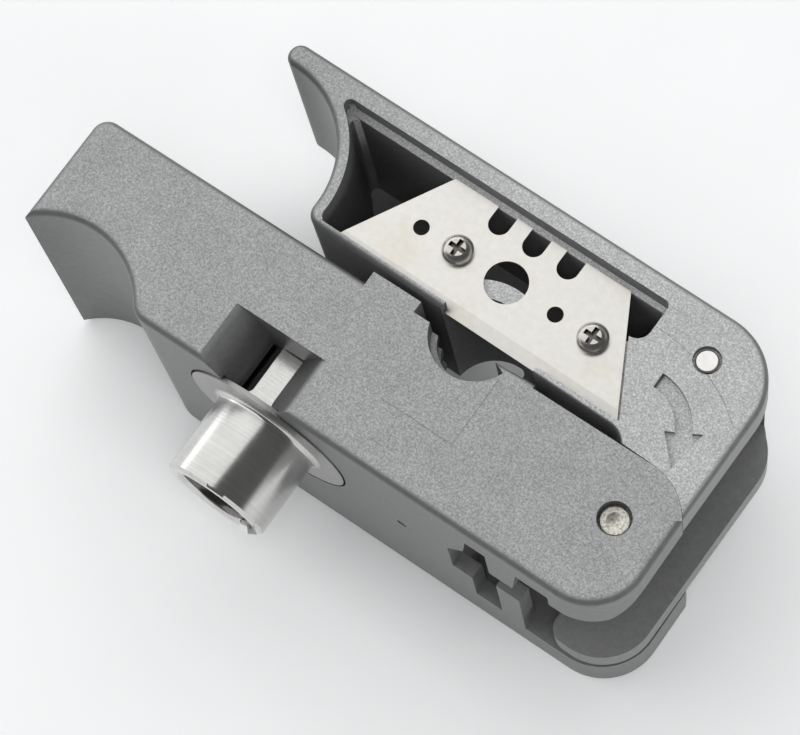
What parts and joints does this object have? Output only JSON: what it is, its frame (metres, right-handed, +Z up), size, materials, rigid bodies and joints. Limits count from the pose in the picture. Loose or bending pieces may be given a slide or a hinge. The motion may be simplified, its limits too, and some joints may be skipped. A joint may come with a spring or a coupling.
{
  "type": "feeder cable stripper",
  "caption": "Hand tool for preparing coaxial feeder cable: a moulded handle with a sprung, hinged blade arm closing round a cable bore, and a steel coring bush on the side.",
  "frame": {"origin": "bottom centre of the box round the whole tool at rest, arm closed", "axes": "+X along the handle towards the hinge end, +Y towards the blade arm, +Z up from the handle's flat underside to its grained top face"},
  "size_m": [0.1262, 0.074, 0.053],
  "materials": {
    "handle_plastic": "spark-eroded grain on the faces, smoother sides, mid grey glass-filled nylon",
    "arm_plastic": "spark-eroded grain on the faces, smoother sides, mid grey glass-filled nylon",
    "pin_steel": "drawn pin with a riveted end",
    "spacer_plastic": "dark acetal ring",
    "bush_steel": "turned and plated, fine tool marks",
    "cutter_steel": "ground",
    "blade_steel": "rolled strip with a ground edge",
    "screw_nickel": "nickel plated",
    "insert_brass": "turned",
    "spring_wire": "drawn spring wire"
  },
  "bodies": {
    "handle": {"main_body": "handle_plastic", "hinge_pin": "pin_steel", "hinge_spacer": "spacer_plastic", "coring_bush": "bush_steel", "rim_cutter": "cutter_steel", "closing_spring": "spring_wire"},
    "arm": {"blade_arm": "arm_plastic", "spring_anchor_pin": "pin_steel", "cutting_blade": "blade_steel", "blade_screw_left": "screw_nickel", "blade_screw_right": "screw_nickel", "thread_insert_left": "insert_brass", "thread_insert_right": "insert_brass"}
  },
  "joints": [
    {"name": "arm_hinge", "type": "hinge", "parent": "handle", "child": "arm", "pos_m": [0.05259, -0.00413, 0], "axis": [0, 0, -1], "range_deg": [0, 20], "stiffness_Nm_per_rad": 0.8, "springref_deg": -17.19, "deforming": ["closing_spring"]}
  ]
}
